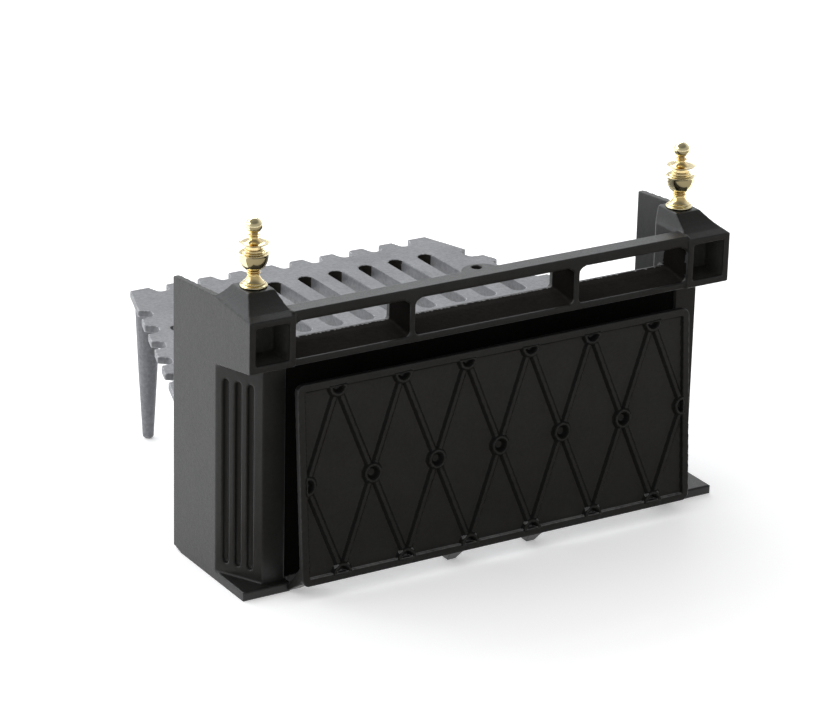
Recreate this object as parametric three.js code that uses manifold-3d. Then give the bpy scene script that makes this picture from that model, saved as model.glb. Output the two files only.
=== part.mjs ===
// Cast-iron fire front for an open fireplace, with its ash cover, bottom grate and two brass finials.
// Millimetres, +Z up. The front faces -Y, and the hearth is the plane z = 0.
// In the construction frame y = 0 is the front face of the two corner boxes.

import * as THREE from 'three';
import { mergeVertices } from 'three/addons/utils/BufferGeometryUtils.js';
import Module from 'manifold-3d';

const wasm = await Module();
wasm.setup();

// ---------- driving dimensions ----------

const seatGap = 0.3;              // clearance where separate pieces meet

// fire front: overall
const frontWidth = 450;
const castWall = 5.5;             // thickness of the cheeks and pillar plates
const cheekDepth = 126.3;
const cheekPeakY = 57.8;          // the cheek's top edge is highest here
const cheekPeakZ = 241.8;
const cheekBackZ = 235.4;
const heelLength = 12.4;          // bevel at the bottom back corner of each cheek
const heelRise = 2.8;

// corner boxes
const boxWidth = 40.7;
const boxDepth = 52.5;
const boxBottomZ = 194.7;
const boxBellyDrop = 9.5;         // the box's underside falls towards the pillar
const eaveZ = 236.7;              // top edge of the box's front face
const pocketRim = 5.3;            // wall left round the square pocket
const pocketDepth = 24;
const pocketDraft = 2.2;
const pocketLugRadius = 4.2;
const pocketLugLength = 11;
const cellarWall = 5;             // wall round the box's rear hollow
const cellarFloorZ = 200;
const boxBackRound = 5;           // the box's back corner beside the fire

// hipped caps on the boxes
const capTopZ = 251;
const capTopWidth = 23.5;
const capTopDepth = 26;
const capRoofThickness = 6;
const capFlare = 0.75;            // below 1 the slopes are hollow, like a pagoda roof
const capRings = 6;

// pillars and feet
const pillarFrontY = 15.5;
const pillarCornerInset = 20.7;   // from the cheek's face to the front corner of the canted face
const pillarWidth = 41;           // from the cheek's face to the pillar's inner edge
const pillarStartY = 55;          // where the canted face leaves the cheek
const fluteRadius = 3;
const fluteDepth = 2.2;
const flutePitch = 11.5;
const fluteCount = 3;
const fluteShift = -1.2;          // the flutes stand a little towards the cheek
const fluteBottomZ = 17;
const fluteTopZ = 175;
const footHeight = 7.8;
const footFrontY = 8;
const footWidth = 43;

// plate between the pillars, with the mouth of the ash pit
const plateSetback = 2.5;         // behind the pillars' front faces
const mouthJamb = 14.5;           // the plate shows this wide beside each pillar
const mouthTopZ = 118;
const mouthToe = 10;              // the plate's bottom corners are rounded
const mouthCorner = 8;

// bars and the three openings
const barFrontY = 2.8;
const barDepth = 15.4;
const barTopZ = 239.5;
const barHeight = 9.7;
const shelfBottomZ = 194;
const shelfLip = 5;               // height of the shelf's front edge
const shelfDepth = 39.5;
const shelfRise = 4.2;            // the sill slopes up from its lip to a flat strip
const shelfStrip = 15;            // depth of that strip
const shelfBevel = 3;
const dividerWidth = 4.5;
const dividerX = 77.1;
const dividerTailZ = 215;         // height of a divider at its back end
const dividerTailLength = 6;      // the dividers narrow to their back ends over this length
const dividerTailWidth = 1.8;
const openingRadius = 5;
const barRound = 2.8;             // the bar's lower front edge
const earOffset = -7.5;           // the lug stands a little left of the middle
const earHalfWidth = 15.5;
const earReach = 11;
const earThickness = 5;
const earHoleRadius = 4.2;
const earHoleSetback = 3.4;       // hole centre behind the bar's back edge

// ash cover
const coverLap = 2.7;             // how far each end of the cover reaches over a foot
const coverHeight = 167.3;
const coverPlate = 3.2;
const coverRelief = 2.4;          // how far rim and ribs stand out of the plate
const coverRim = 6.3;
const coverCorner = 6;
const coverBottomY = -16.4;
const coverBottomZ = 12.7;
const coverLean = THREE.MathUtils.degToRad(4.2);
const latticePeriods = 6;
const ribFoot = 6.4;              // rib width at the plate
const ribCrest = 3.2;
const ribSetback = 0.2;           // the rib crests lie this far behind the face of the rim
const bossRadius = 9;
const bossCrest = 7.9;
const bossExtra = 0.8;            // the ringed bosses stand a little above the ribs
const dishRadius = 5.7;
const dishFloorRadius = 3.6;
const dishDepth = 4.4;
const coverFootX = 38;
const coverFootRoot = 16;
const coverFootTip = 8;
const coverFootTopZ = 34;
const coverFootReach = 15;        // how far the tip stands behind the panel's foot line
const spacerWidth = 12;
const spacerTopZ = 28;

// bottom grate
const grateTopZ = 134;
const gratePlate = 6.5;
const grateFieldDepth = 13;       // depth of the casting where it is slotted
const grateFieldMargin = 4;
const grateFieldDraft = 1.5;
const grateBackY = 352.5;
const grateBackWidth = 296;
const grateTaper = 0.343;         // each side runs out by this much per millimetre forward
const grateNoseClearance = 2;     // behind the fire front's plate and its canted pillars
const grateSideClearance = 1.5;
const slotPitch = 30.4;
const slotWidth = 14;
const slotBackY = 314;
const crossBarY = 191;
const crossBarWidth = 12;
const slotFrontMargin = 15;
const slotSideMargin = 9;
const backNotchMouth = 16.6;
const backNotchFloor = 8.6;
const backNotchDepth = 13;
const sideNotchPitch = 34.2;
const sideNotchMouth = 20;
const sideNotchFloor = 11;
const sideNotchDepth = 11;
const sideToothFrontY = 308;      // front face of the rearmost side tooth
const sideNotchCount = 5;
const legInset = 10.6;
const legSetback = 12.6;
const frontLegInset = 57;         // from the face of the cheek
const frontLegY = 92;
const legTopRadius = 9.6;
const legMidRadius = 7.5;
const legTipRadius = 4;
const legRootRadius = 12.4;       // the leg flares into the casting
const legRootHeight = 16;

// finials
const finialInset = 24.8;         // from the face of the cheek
const finialY = 39.7;
const rodRadius = 1.5;
const boreClearance = 0.35;
const capBoreClearance = 0.45;
const finialFootRadius = 10.9;
const finialStemRadius = 4.5;
const finialFootHeight = 13.2;
const urnRadius = 12;
const urnHeight = 19.6;
const urnNeckRadius = 6.4;
const discRadius = 11.8;
const discThickness = 1.1;
const ballRadius = 6.3;
const ballCentreRise = 16.2;      // ball centre above the underside of the disc
const knobBore = 10.5;
const washerRadius = 5.5;
const washerThickness = 1.2;
const nutFlats = 6;
const nutHeight = 3;
const rodTail = 2;

const roundSegments = 18;
const smallSegments = 14;

// ---------- geometry helpers ----------

function toSolid(geometry) {
  const bare = geometry.clone();
  bare.deleteAttribute('normal');
  bare.deleteAttribute('uv');
  const merged = mergeVertices(bare, 1e-4);
  const triangles = [];
  for (let i = 0; i < merged.index.count; i += 3) {
    const [a, b, c] = [merged.index.getX(i), merged.index.getX(i + 1), merged.index.getX(i + 2)];
    if (a !== b && b !== c && c !== a) triangles.push(a, b, c);
  }
  return new wasm.Manifold(new wasm.Mesh({
    numProp: 3,
    vertProperties: new Float32Array(merged.attributes.position.array),
    triVerts: new Uint32Array(triangles),
  }));
}

function toGeometry(solid) {
  const mesh = solid.getMesh();
  const geometry = new THREE.BufferGeometry();
  geometry.setAttribute('position', new THREE.BufferAttribute(new Float32Array(mesh.vertProperties), 3));
  geometry.setIndex(new THREE.BufferAttribute(new Uint32Array(mesh.triVerts), 1));
  geometry.computeVertexNormals();
  return geometry;
}

const join = (solids) => solids.reduce((sum, solid) => sum.add(solid));
const cut = (solid, tools) => tools.reduce((rest, tool) => rest.subtract(tool), solid);
const outline = (points) => new THREE.Shape(points.map(([u, v]) => new THREE.Vector2(u, v)));
const extrude = (shape, depth, curveSegments) =>
  new THREE.ExtrudeGeometry(shape, { depth, bevelEnabled: false, curveSegments });

// plan outline (x, y) raised from z0 to z1
function planSlab(shape, z0, z1, curveSegments = 8) {
  return toSolid(extrude(shape, z1 - z0, curveSegments).translate(0, 0, z0));
}

// front elevation (x, z) drawn back from y0 to y1
function frontSlab(shape, y0, y1, curveSegments = 5) {
  return toSolid(extrude(shape, y1 - y0, curveSegments).rotateX(Math.PI / 2).translate(0, y1, 0));
}

// side profile (y, z) drawn along x from x0 to x1
function sideSlab(points, x0, x1) {
  const turn = new THREE.Matrix4().set(0, 0, 1, x0, 1, 0, 0, 0, 0, 1, 0, 0, 0, 0, 0, 1);
  return toSolid(extrude(outline(points), x1 - x0, 1).applyMatrix4(turn));
}

// closed skin through rings of equal point count, listed from the bottom up, anticlockwise from above
function loft(rings) {
  const count = rings[0].length;
  const positions = rings.flat(2);
  const index = [];
  for (let r = 0; r + 1 < rings.length; r++) {
    for (let i = 0; i < count; i++) {
      const a = r * count + i;
      const b = r * count + ((i + 1) % count);
      index.push(a, b, b + count, a, b + count, a + count);
    }
  }
  const top = (rings.length - 1) * count;
  for (let i = 1; i + 1 < count; i++) {
    index.push(0, i + 1, i);
    index.push(top, top + i, top + i + 1);
  }
  const geometry = new THREE.BufferGeometry();
  geometry.setAttribute('position', new THREE.Float32BufferAttribute(positions, 3));
  geometry.setIndex(index);
  return geometry;
}

function mirrored(geometry) {
  const copy = geometry.clone().scale(-1, 1, 1);
  const index = copy.index.array;
  for (let i = 0; i < index.length; i += 3) [index[i], index[i + 1]] = [index[i + 1], index[i]];
  return copy;
}

// profile of (radius, height) turned about a vertical axis
function turned(profile, segments = roundSegments) {
  const points = profile.map(([r, z]) => new THREE.Vector2(r, z));
  return new THREE.LatheGeometry(points, segments).rotateX(Math.PI / 2);
}

const rectangleRing = (x0, x1, y0, y1, z) => [[x0, y0, z], [x1, y0, z], [x1, y1, z], [x0, y1, z]];

function roundedRectangle(target, x0, x1, y0, y1, radius) {
  target.moveTo(x0 + radius, y0);
  target.lineTo(x1 - radius, y0);
  target.absarc(x1 - radius, y0 + radius, radius, -Math.PI / 2, 0, false);
  target.lineTo(x1, y1 - radius);
  target.absarc(x1 - radius, y1 - radius, radius, 0, Math.PI / 2, false);
  target.lineTo(x0 + radius, y1);
  target.absarc(x0 + radius, y1 - radius, radius, Math.PI / 2, Math.PI, false);
  target.lineTo(x0, y0 + radius);
  target.absarc(x0 + radius, y0 + radius, radius, Math.PI, 1.5 * Math.PI, false);
  return target;
}

// ---------- fire front ----------

const halfFront = frontWidth / 2;
const boxInnerX = halfFront - boxWidth;
const pillarInnerX = halfFront - pillarWidth;
const footInnerX = halfFront - footWidth;
const mouthHalf = pillarInnerX - mouthJamb;
const finialX = halfFront - finialInset;
const bellyZ = boxBottomZ - boxBellyDrop;
const shelfTopZ = shelfBottomZ + shelfLip;
const barBottomZ = barTopZ - barHeight;
const barBackY = barFrontY + barDepth;
const shelfBackY = barFrontY + shelfDepth;
const pillarCornerX = halfFront - pillarCornerInset;
const plateFrontY = pillarFrontY + plateSetback;
const bite = 1;                   // how deep joined shapes run into each other

// every part of the front that comes in pairs is drawn on the +x side, then mirrored
function cheek() {
  return sideSlab([
    [0, boxBottomZ], [pillarStartY, bellyZ], [pillarStartY, 0], [cheekDepth - heelLength, 0],
    [cheekDepth, heelRise], [cheekDepth, cheekBackZ], [cheekPeakY, cheekPeakZ], [0, eaveZ],
  ], halfFront - castWall, halfFront);
}

function boxBlock() {
  const bellyAtBack = boxBottomZ - boxBellyDrop * boxDepth / pillarStartY;
  return sideSlab([
    [0, boxBottomZ], [boxDepth, bellyAtBack], [boxDepth, eaveZ], [0, eaveZ],
  ], boxInnerX, halfFront);
}

// what the rounding of the box's back corner takes away
function boxCornerRound() {
  const corner = new THREE.Shape();
  corner.moveTo(boxInnerX - bite, boxDepth + 2 * bite);
  corner.lineTo(boxInnerX - bite, boxDepth - boxBackRound);
  corner.lineTo(boxInnerX, boxDepth - boxBackRound);
  corner.absarc(boxInnerX + boxBackRound, boxDepth - boxBackRound, boxBackRound, Math.PI, Math.PI / 2, true);
  corner.lineTo(boxInnerX + boxBackRound, boxDepth + 2 * bite);
  return planSlab(corner, bellyZ - bite, capTopZ + bite, 5);
}

function capRoof() {
  const topInner = finialX - capTopWidth / 2;
  const topOuter = finialX + capTopWidth / 2;
  const topFront = finialY - capTopDepth / 2;
  const topBack = finialY + capTopDepth / 2;
  const foot = rectangleRing(boxInnerX, halfFront, 0, boxDepth, eaveZ - bite);
  const eave = [
    [boxInnerX, 0, eaveZ], [halfFront, 0, eaveZ],
    [halfFront, cheekPeakY, cheekPeakZ], [boxInnerX, boxDepth, eaveZ],
  ];
  foot[2] = [halfFront, cheekPeakY, eaveZ - bite];
  const crown = rectangleRing(topInner, topOuter, topFront, topBack, capTopZ);
  const rings = [foot];
  for (let step = 0; step < capRings; step++) {
    const rise = step / (capRings - 1);
    const draw = rise ** capFlare;
    rings.push(eave.map((corner, i) => [
      THREE.MathUtils.lerp(corner[0], crown[i][0], draw),
      THREE.MathUtils.lerp(corner[1], crown[i][1], draw),
      THREE.MathUtils.lerp(corner[2], crown[i][2], rise),
    ]));
  }
  return toSolid(loft(rings));
}

function pocket() {
  const mouth = rectangleRing(boxInnerX + pocketRim, halfFront - pocketRim,
    boxBottomZ + pocketRim + 0.5, eaveZ - pocketRim + 0.3, bite);
  const floor = rectangleRing(boxInnerX + pocketRim + pocketDraft, halfFront - pocketRim - pocketDraft,
    boxBottomZ + pocketRim + pocketDraft, eaveZ - pocketRim - pocketDraft, -pocketDepth);
  return toSolid(loft([floor, mouth]).rotateX(Math.PI / 2));
}

function pocketLug() {
  const lug = new THREE.CylinderGeometry(pocketLugRadius, pocketLugRadius, pocketLugLength, smallSegments);
  const x = boxInnerX + pocketRim + pocketDraft + pocketLugRadius - bite;
  const z = boxBottomZ + pocketRim + pocketDraft + pocketLugRadius - bite;
  return toSolid(lug.translate(x, pocketDepth + bite - pocketLugLength / 2, z));
}

// the hollow behind the pocket, open to the back, where the finial's nut is reached
function cellar() {
  const inner = boxInnerX + cellarWall;
  const outer = halfFront - castWall;
  const front = pocketDepth + cellarWall;
  const roofInner = finialX - capTopWidth / 2 + cellarWall / 2;
  const roofOuter = finialX + capTopWidth / 2 - cellarWall / 2;
  const roofBack = finialY + capTopDepth / 2 - cellarWall;
  const roofZ = capTopZ - capRoofThickness;
  return toSolid(loft([
    rectangleRing(inner, outer, front, boxDepth + bite, cellarFloorZ),
    rectangleRing(inner, outer, front, boxDepth + bite, eaveZ - bite),
    rectangleRing(roofInner, roofOuter, finialY - washerRadius - bite, roofBack, eaveZ + bite),
    rectangleRing(roofInner, roofOuter, finialY - washerRadius - bite, roofBack, roofZ),
  ]));
}

function rodHole() {
  const radius = rodRadius + capBoreClearance;
  const hole = new THREE.CylinderGeometry(radius, radius, 4 * capRoofThickness, smallSegments);
  return toSolid(hole.rotateX(Math.PI / 2).translate(finialX, finialY, capTopZ));
}

function cantedPlate() {
  const run = new THREE.Vector2(halfFront - pillarCornerX, pillarStartY - pillarFrontY);
  const inward = castWall * run.length() / run.y;
  return planSlab(outline([
    [halfFront, pillarStartY], [halfFront, pillarStartY + bite],
    [halfFront - castWall, pillarStartY + bite],
    [pillarCornerX - inward + castWall * run.x / run.y, pillarFrontY + castWall],
    [pillarCornerX - castWall, pillarFrontY + castWall], [pillarCornerX - castWall, pillarFrontY],
    [pillarCornerX, pillarFrontY],
  ]), 0, bellyZ + 2 * bite);
}

function pillarFace() {
  return planSlab(outline([
    [pillarInnerX, pillarFrontY], [pillarCornerX, pillarFrontY],
    [pillarCornerX, pillarFrontY + castWall], [pillarInnerX, pillarFrontY + castWall],
  ]), 0, shelfBottomZ + bite);
}

// round-ended grooves down the canted face
function flutes() {
  const edge = new THREE.Vector2(halfFront, pillarStartY);
  const corner = new THREE.Vector2(pillarCornerX, pillarFrontY);
  const along = corner.clone().sub(edge).normalize();
  const outward = new THREE.Vector2(-along.y, along.x).multiplyScalar(-1);
  const middle = edge.clone().add(corner).multiplyScalar(0.5);
  const length = fluteTopZ - fluteBottomZ - 2 * fluteRadius;
  const tools = [];
  for (let i = 0; i < fluteCount; i++) {
    const offset = (i - (fluteCount - 1) / 2) * flutePitch + fluteShift;
    const centre = middle.clone().addScaledVector(along, offset);
    centre.addScaledVector(outward, fluteRadius - fluteDepth);
    const groove = new THREE.CapsuleGeometry(fluteRadius, length, 3, 12).rotateX(Math.PI / 2);
    tools.push(toSolid(groove.translate(centre.x, centre.y, (fluteBottomZ + fluteTopZ) / 2)));
  }
  return tools;
}

function footPlate() {
  return planSlab(outline([
    [halfFront, pillarStartY], [halfFront - bite, pillarStartY], [pillarCornerX - bite, pillarFrontY + bite],
    [footInnerX, pillarFrontY + bite], [footInnerX, footFrontY], [halfFront, footFrontY],
  ]), 0, footHeight);
}

function barsAndShelf() {
  const face = outline([
    [-boxInnerX - bite, shelfBottomZ], [boxInnerX + bite, shelfBottomZ],
    [boxInnerX + bite, barTopZ], [-boxInnerX - bite, barTopZ],
  ]);
  const gapEdge = dividerX - dividerWidth / 2;
  const farEdge = dividerX + dividerWidth / 2;
  const openings = [[-boxInnerX, -farEdge], [-gapEdge, gapEdge], [farEdge, boxInnerX]];
  for (const [x0, x1] of openings) {
    face.holes.push(roundedRectangle(new THREE.Path(), x0, x1, shelfTopZ, barBottomZ, openingRadius));
  }
  const grid = frontSlab(face, barFrontY, shelfBackY);
  const underBar = openings.map(([x0, x1]) => sideSlab([
    [barFrontY - bite, barBottomZ - bite], [barFrontY + barRound, barBottomZ - bite],
    [barFrontY + barRound, barBottomZ], [barFrontY + 0.3 * barRound, barBottomZ + 0.3 * barRound],
    [barFrontY, barBottomZ + barRound], [barFrontY - bite, barBottomZ + barRound],
  ], x0 + openingRadius, x1 - openingRadius));
  const behindBar = sideSlab([
    [barBackY, barTopZ + bite], [barBackY, barBottomZ], [shelfBackY, dividerTailZ],
    [shelfBackY + bite, dividerTailZ], [shelfBackY + bite, barTopZ + bite],
  ], -boxInnerX - 2 * bite, boxInnerX + 2 * bite);
  const tails = [-dividerX, dividerX].map((x) => cut(
    planSlab(outline(rectangleRing(x - dividerWidth, x + dividerWidth,
      shelfBackY - dividerTailLength, shelfBackY + bite, 0)), shelfTopZ + shelfRise, barTopZ),
    [planSlab(outline([
      [x - dividerWidth / 2, shelfBackY - dividerTailLength - bite],
      [x + dividerWidth / 2, shelfBackY - dividerTailLength - bite],
      [x + dividerWidth / 2, shelfBackY - dividerTailLength],
      [x + dividerTailWidth / 2, shelfBackY + bite + seatGap],
      [x - dividerTailWidth / 2, shelfBackY + bite + seatGap],
      [x - dividerWidth / 2, shelfBackY - dividerTailLength],
    ]), shelfTopZ, barTopZ + bite)],
  ));
  const sill = sideSlab([
    [barFrontY, shelfBottomZ], [shelfBackY, shelfBottomZ], [shelfBackY, shelfTopZ + shelfRise - shelfBevel],
    [shelfBackY - shelfBevel, shelfTopZ + shelfRise], [shelfBackY - shelfStrip, shelfTopZ + shelfRise],
    [barFrontY, shelfTopZ],
  ], -boxInnerX - bite, boxInnerX + bite);
  return cut(grid, [behindBar, ...underBar, ...tails]).add(sill);
}

// plate between the pillars, cut away below for the ash
function frontPlate() {
  const reach = pillarInnerX + castWall;
  const plate = new THREE.Shape();
  plate.moveTo(reach, 0);
  plate.lineTo(reach, shelfBottomZ + bite);
  plate.lineTo(-reach, shelfBottomZ + bite);
  plate.lineTo(-reach, 0);
  plate.absarc(-mouthHalf - mouthToe, mouthToe, mouthToe, -Math.PI / 2, 0, false);
  plate.absarc(-mouthHalf + mouthCorner, mouthTopZ - mouthCorner, mouthCorner, Math.PI, Math.PI / 2, true);
  plate.absarc(mouthHalf - mouthCorner, mouthTopZ - mouthCorner, mouthCorner, Math.PI / 2, 0, true);
  plate.absarc(mouthHalf + mouthToe, mouthToe, mouthToe, Math.PI, 1.5 * Math.PI, false);
  return frontSlab(plate, plateFrontY, plateFrontY + castWall, 6);
}

function ear() {
  const lug = new THREE.Shape();
  lug.absellipse(earOffset, barBackY - bite, earHalfWidth, earReach + bite, 0, Math.PI, false);
  const hole = new THREE.Path();
  hole.absarc(earOffset, barBackY + earHoleSetback, earHoleRadius, 0, 2 * Math.PI, false);
  return { lug: planSlab(lug, barTopZ - earThickness, barTopZ, 14),
    hole: planSlab(new THREE.Shape(hole.getPoints(10)), barTopZ - barHeight - bite, barTopZ + bite) };
}

function fireFront() {
  const side = (() => {
    const mass = join([cheek(), boxBlock(), capRoof(), cantedPlate(), pillarFace(), footPlate()]);
    return toGeometry(cut(mass, [boxCornerRound(), pocket(), cellar(), rodHole(), ...flutes()]));
  })();
  const { lug, hole } = ear();
  const whole = join([toSolid(side), toSolid(mirrored(side)), barsAndShelf(), frontPlate(), lug, pocketLug()]);
  return cut(whole, [hole]);
}

// ---------- ash cover ----------

const coverWidth = 2 * (footInnerX + coverLap);

// drawn flat: x across, z up from the bottom edge, y = 0 at the crest of rim and ribs
function coverPanel() {
  const half = coverWidth / 2;
  const inner = { x: half - coverRim, z0: coverRim, z1: coverHeight - coverRim };
  const field = (margin) => outline(rectangleRing(
    -inner.x - margin, inner.x + margin, inner.z0 - margin, inner.z1 + margin, 0));
  const edge = (target) => roundedRectangle(target, -half, half, 0, coverHeight, coverCorner);
  const plate = frontSlab(edge(new THREE.Shape()), coverRelief, coverRelief + coverPlate);
  const rimFace = edge(new THREE.Shape());
  rimFace.holes.push(new THREE.Path(field(0).getPoints()));
  const rim = frontSlab(rimFace, 0, coverRelief + bite);

  const period = 2 * inner.x / latticePeriods;
  const rise = inner.z1 - inner.z0;
  const ribLength = Math.hypot(period, rise);
  const ribTilt = Math.atan2(period, rise);
  const section = outline([
    [-ribFoot / 2, coverRelief + bite], [-ribFoot / 2, coverRelief], [-ribCrest / 2, ribSetback],
    [ribCrest / 2, ribSetback], [ribFoot / 2, coverRelief], [ribFoot / 2, coverRelief + bite],
  ]);
  const ribs = [];
  for (let k = 0; k <= latticePeriods; k++) {
    const middleX = (k - latticePeriods / 2) * period;
    for (const lean of [-1, 1]) {
      const rib = extrude(section, ribLength + ribFoot, 1).translate(0, 0, -(ribLength + ribFoot) / 2);
      rib.rotateY(lean * ribTilt).translate(middleX, 0, (inner.z0 + inner.z1) / 2);
      ribs.push(toSolid(rib));
    }
  }

  const bosses = [];
  const dishes = [];
  const bossProfile = [[0, 0], [bossRadius, 0], [bossRadius, bite], [bossCrest, bite + coverRelief + bossExtra],
    [0, bite + coverRelief + bossExtra]];
  const dishProfile = [[0, 0], [dishFloorRadius, 0], [dishRadius, dishDepth],
    [dishRadius + bite, dishDepth + bite], [0, dishDepth + bite]];
  const plant = (profile, x, y, z) => toSolid(turned(profile, smallSegments).rotateX(Math.PI / 2).translate(x, y, z));
  for (const [row, z] of [[0, inner.z0], [0.5, (inner.z0 + inner.z1) / 2], [0, inner.z1]]) {
    for (let k = 0; k <= latticePeriods; k++) {
      const x = (k - latticePeriods / 2 + (row ? 0 : 0.5)) * period;
      if (x > inner.x + bite) continue;
      bosses.push(plant(bossProfile, x, coverRelief + bite, z));
      dishes.push(plant(dishProfile, x, dishDepth - bossExtra, z));
    }
  }
  const reach = [-2 * bite, coverRelief + coverPlate - bite];
  const raised = join([...ribs, ...bosses]).intersect(frontSlab(field(bite), ...reach));
  const hollows = join(dishes).intersect(frontSlab(field(0), ...reach));
  const proud = join([plate, rim, raised]);
  return proud.subtract(hollows);
}

function ashCover() {
  const panel = toGeometry(coverPanel());
  panel.rotateX(-coverLean).translate(0, coverBottomY, coverBottomZ);
  const backAt = (z) => coverBottomY + (z - coverBottomZ) * Math.tan(coverLean)
    + (coverRelief + coverPlate) / Math.cos(coverLean);
  const feet = [-1, 1].map((side) => {
    const ring = (width, y0, y1, z) =>
      rectangleRing(side * coverFootX - width / 2, side * coverFootX + width / 2, y0, y1, z);
    return toSolid(loft([
      ring(coverFootTip, coverBottomY + coverFootReach, coverBottomY + coverFootReach + coverFootTip, 0),
      ring(coverFootRoot, backAt(coverBottomZ) - 2 * bite, coverBottomY + coverFootReach + coverFootTip,
        coverBottomZ + bite),
      ring(coverFootRoot, backAt(coverFootTopZ) - 2 * bite, backAt(coverFootTopZ) + bite, coverFootTopZ),
    ]));
  });
  // spacers that bear on the fire front's feet and are hidden by the panel
  const spacerEnd = coverWidth / 2;
  const spacer = (x0) => sideSlab([
    [backAt(coverBottomZ) - bite, coverBottomZ + bite], [footFrontY - seatGap, bite],
    [footFrontY - seatGap, footHeight - bite], [backAt(spacerTopZ) - bite, spacerTopZ],
  ], x0, x0 + spacerWidth);
  return join([toSolid(panel), ...feet, spacer(-spacerEnd), spacer(spacerEnd - spacerWidth)]);
}

// ---------- bottom grate ----------

const grateBottomZ = grateTopZ - gratePlate;
const grateFieldZ = grateTopZ - grateFieldDepth;
const grateShoulderY = cheekDepth + seatGap;
const grateNoseY = plateFrontY + castWall + grateNoseClearance;
const grateHalfAt = (y) => grateBackWidth / 2 + grateTaper * (grateBackY - y);
const grateTongueHalf = halfFront - castWall - grateSideClearance;

function slotShape(x, yBack, yFront) {
  const radius = slotWidth / 2;
  const slot = new THREE.Path();
  slot.absarc(x, yBack - radius, radius, 0, Math.PI, false);
  slot.absarc(x, yFront + radius, radius, Math.PI, 2 * Math.PI, false);
  return slot;
}

// the slots, each as [x, back end, front end]
function slotRows() {
  const half = grateBackWidth / 2;
  const columns = Math.floor((grateTongueHalf - slotWidth / 2 - slotSideMargin) / slotPitch);
  const rows = [];
  for (let k = -columns; k <= columns; k++) {
    const x = k * slotPitch;
    const reach = Math.abs(x) + slotWidth / 2 + slotSideMargin + sideNotchDepth;
    const lastY = Math.min(slotBackY, grateBackY - (reach - half) / grateTaper);
    const firstY = grateNoseY + slotFrontMargin;
    rows.push([x, Math.min(crossBarY - crossBarWidth / 2, lastY), firstY]);
    if (lastY > crossBarY + crossBarWidth / 2 + 2 * slotWidth) {
      rows.push([x, lastY, crossBarY + crossBarWidth / 2]);
    }
  }
  return rows;
}

function gratePlateSolid() {
  const half = grateBackWidth / 2;
  const shoulder = Math.min(grateHalfAt(grateShoulderY), halfFront - seatGap);
  const cantLength = Math.hypot(pillarCornerInset, pillarStartY - pillarFrontY);
  const cantSlope = pillarCornerInset / (pillarStartY - pillarFrontY);
  const cantInset = (castWall + grateNoseClearance) * cantLength / (pillarStartY - pillarFrontY);
  const cantHalfAt = (y) => pillarCornerX - cantInset + cantSlope * (y - pillarFrontY);
  const tongueY = grateNoseY + (grateTongueHalf - cantHalfAt(grateNoseY)) / cantSlope;
  const side = [
    [cantHalfAt(grateNoseY), grateNoseY], [grateTongueHalf, tongueY],
    [grateTongueHalf, grateShoulderY], [shoulder, grateShoulderY], [half, grateBackY],
  ];
  const otherSide = side.map(([x, y]) => [-x, y]).reverse();
  return planSlab(outline([...side, ...otherSide]), grateBottomZ, grateTopZ);
}

// the casting is deeper round the slots: one pad under each slot, all run together
function grateField() {
  return slotRows().map(([x, yBack, yFront]) => {
    const side = slotPitch / 2 + bite;
    const pad = (inset, z) => rectangleRing(x - side + inset, x + side - inset,
      yFront - grateFieldMargin + inset, yBack + grateFieldMargin - inset, z);
    return toSolid(loft([pad(grateFieldDraft, grateFieldZ), pad(0, grateBottomZ + bite)]));
  });
}

function slotCutters() {
  return slotRows().map(([x, yBack, yFront]) =>
    planSlab(new THREE.Shape(slotShape(x, yBack, yFront).getPoints(5)), grateFieldZ - bite, grateTopZ + bite));
}

function notch(mouth, floor, depth) {
  const shape = new THREE.Shape();
  shape.moveTo(-mouth / 2 - bite / 2, bite);
  shape.lineTo(mouth / 2 + bite / 2, bite);
  shape.lineTo(floor / 2 + bite, -depth + 2 * bite);
  shape.quadraticCurveTo(floor / 2, -depth, floor / 2 - 2 * bite, -depth);
  shape.lineTo(-floor / 2 + 2 * bite, -depth);
  shape.quadraticCurveTo(-floor / 2, -depth, -floor / 2 - bite, -depth + 2 * bite);
  return shape;
}

function grateNotches() {
  const tools = [];
  const drop = (shape, angle, x, y) => {
    const block = extrude(shape, gratePlate + 2 * bite, 2);
    tools.push(toSolid(block.rotateZ(angle).translate(x, y, grateBottomZ - bite)));
  };
  const backShape = notch(backNotchMouth, backNotchFloor, backNotchDepth);
  const backCount = Math.floor((grateBackWidth / 2 - backNotchMouth) / slotPitch);
  for (let k = -backCount; k <= backCount; k++) drop(backShape, 0, k * slotPitch, grateBackY);
  const sideShape = notch(sideNotchMouth, sideNotchFloor, sideNotchDepth);
  const turn = Math.atan(grateTaper);
  for (let k = 0; k < sideNotchCount; k++) {
    const y = sideToothFrontY - sideNotchMouth / 2 - k * sideNotchPitch;
    drop(sideShape, -Math.PI / 2 + turn, grateHalfAt(y), y);
    drop(sideShape, Math.PI / 2 - turn, -grateHalfAt(y), y);
  }
  return tools;
}

function grateLeg(x, y) {
  const tipRound = legTipRadius * 0.45;
  const rootZ = grateBottomZ - legRootHeight;
  const profile = [[0, 0], [legTipRadius - tipRound, 0], [legTipRadius, tipRound],
    [legMidRadius, grateBottomZ * 0.5], [legTopRadius, rootZ]];
  for (let i = 1; i <= 3; i++) {
    const t = i / 3;
    profile.push([THREE.MathUtils.lerp(legTopRadius, legRootRadius, t * t), rootZ + t * legRootHeight]);
  }
  profile.push([legRootRadius, grateBottomZ + bite], [0, grateBottomZ + bite]);
  return toSolid(turned(profile, smallSegments).translate(x, y, 0));
}

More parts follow.
